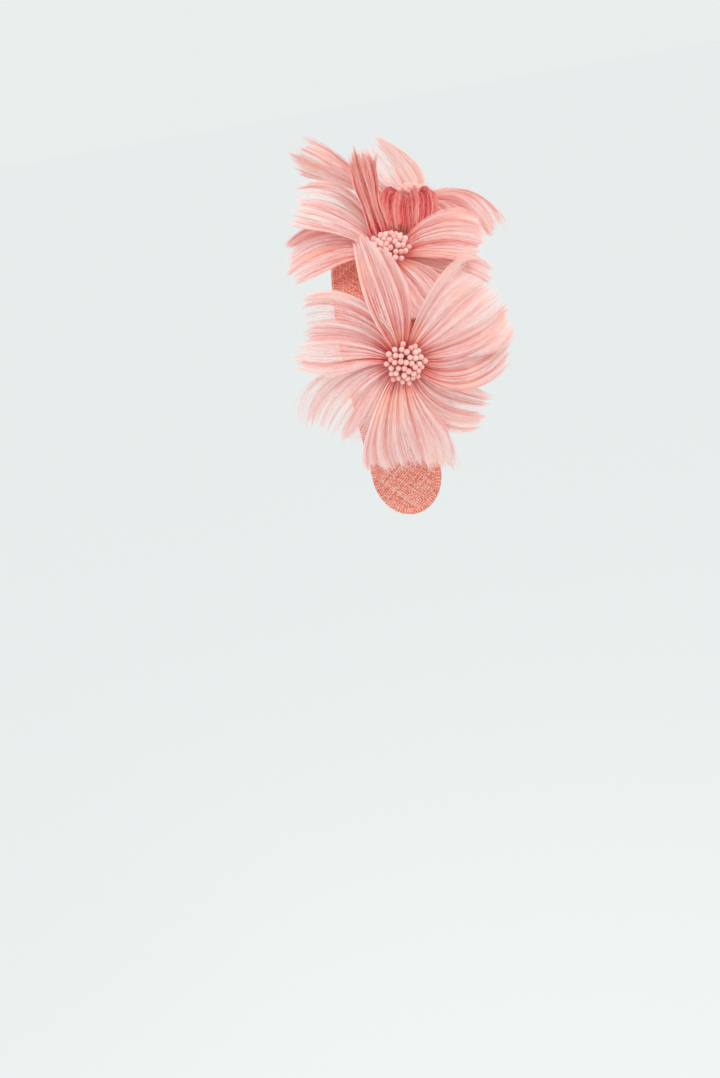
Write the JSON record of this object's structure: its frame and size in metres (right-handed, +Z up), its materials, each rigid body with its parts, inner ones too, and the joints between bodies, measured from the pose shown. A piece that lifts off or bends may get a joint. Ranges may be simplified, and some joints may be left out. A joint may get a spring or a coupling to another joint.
{
  "type": "fascinator headpiece",
  "caption": "Half-hat fascinator: a woven-straw band over the head from ear to ear, with three fibre-petalled flowers and stamen clusters up one side.",
  "frame": {"origin": "centre of the half circle that the band's lining makes round the head, which is the head's place", "axes": "+X to the wearer's right, +Y to the wearer's front, +Z up to the crown"},
  "size_m": [0.1843, 0.1284, 0.222],
  "materials": {
    "straw_cloth": "woven straw, slight sparkle",
    "lining_ribbon": "ribbed ribbon, matt",
    "buckram": "stiffened open weave",
    "spring_steel": "bright",
    "rim_wire": "paper wrapped",
    "felt": "felt",
    "thread": "twisted thread",
    "stem_wrap": "crepe tape",
    "stamen_paste": "starch paste, eggshell",
    "petal_fibre": "lengthwise fibre, slight sheen"
  },
  "bodies": {
    "crown": {"crown_edge_binding": "straw_cloth", "crown_foundation": "buckram", "crown_lining": "lining_ribbon", "crown_rim_wire": "rim_wire", "crown_spring": "spring_steel", "crown_straw_cover": "straw_cloth", "mid_pad": "felt", "mid_stitches": "thread", "top_pad": "felt", "top_stitches": "thread"},
    "right_end": {"low_pad": "felt", "low_stitches": "thread", "right_edge_binding": "straw_cloth", "right_foundation": "buckram", "right_lining": "lining_ribbon", "right_rim_wire": "rim_wire", "right_spring": "spring_steel", "right_straw_cover": "straw_cloth"},
    "left_end": {"left_edge_binding": "straw_cloth", "left_foundation": "buckram", "left_lining": "lining_ribbon", "left_rim_wire": "rim_wire", "left_spring": "spring_steel", "left_straw_cover": "straw_cloth"},
    "low_flower": {"low_binding": "thread", "low_calyx": "stem_wrap", "low_petal_back": "petal_fibre", "low_petal_back_down": "petal_fibre", "low_petal_down": "petal_fibre", "low_petal_front": "petal_fibre", "low_petal_front_down": "petal_fibre", "low_petal_front_up": "petal_fibre", "low_petal_up": "petal_fibre", "low_stamens": "stamen_paste", "low_stem": "stem_wrap"},
    "mid_flower": {"mid_binding": "thread", "mid_calyx": "stem_wrap", "mid_petal_back": "petal_fibre", "mid_petal_back_up": "petal_fibre", "mid_petal_front": "petal_fibre", "mid_petal_front_down": "petal_fibre", "mid_petal_front_up": "petal_fibre", "mid_petal_up": "petal_fibre", "mid_stamens": "stamen_paste", "mid_stem": "stem_wrap"},
    "top_flower": {"top_binding": "thread", "top_calyx": "stem_wrap", "top_petal_back": "petal_fibre", "top_petal_back_right": "petal_fibre", "top_petal_front": "petal_fibre", "top_petal_left": "petal_fibre", "top_petal_left_back": "petal_fibre", "top_petal_right": "petal_fibre", "top_stamens": "stamen_paste", "top_stem": "stem_wrap"}
  },
  "joints": [
    {"name": "right_end_spread", "type": "hinge", "parent": "crown", "child": "right_end", "pos_m": [0.06833, 0, 0.03945], "axis": [0, -1, 0], "range_deg": [0, 10], "stiffness_Nm_per_rad": 1.5},
    {"name": "left_end_spread", "type": "hinge", "parent": "crown", "child": "left_end", "pos_m": [-0.06833, 0, 0.03945], "axis": [0, 1, 0], "range_deg": [0, 10], "stiffness_Nm_per_rad": 1.5},
    {"name": "low_flower_nod", "type": "hinge", "parent": "right_end", "child": "low_flower", "pos_m": [0.08098, 0.00875, 0.01225], "axis": [-0.2755, 0.9613, -0.0096], "range_deg": [-5, 5]},
    {"name": "mid_flower_nod", "type": "hinge", "parent": "crown", "child": "mid_flower", "pos_m": [0.05272, 0.00669, 0.06283], "axis": [-0.1293, 0.9796, -0.154], "range_deg": [-5, 5]},
    {"name": "top_flower_nod", "type": "hinge", "parent": "crown", "child": "top_flower", "pos_m": [0, 0.01698, 0.08106], "axis": [-0.0078, 0.9888, -0.1493], "range_deg": [-5, 5]}
  ]
}
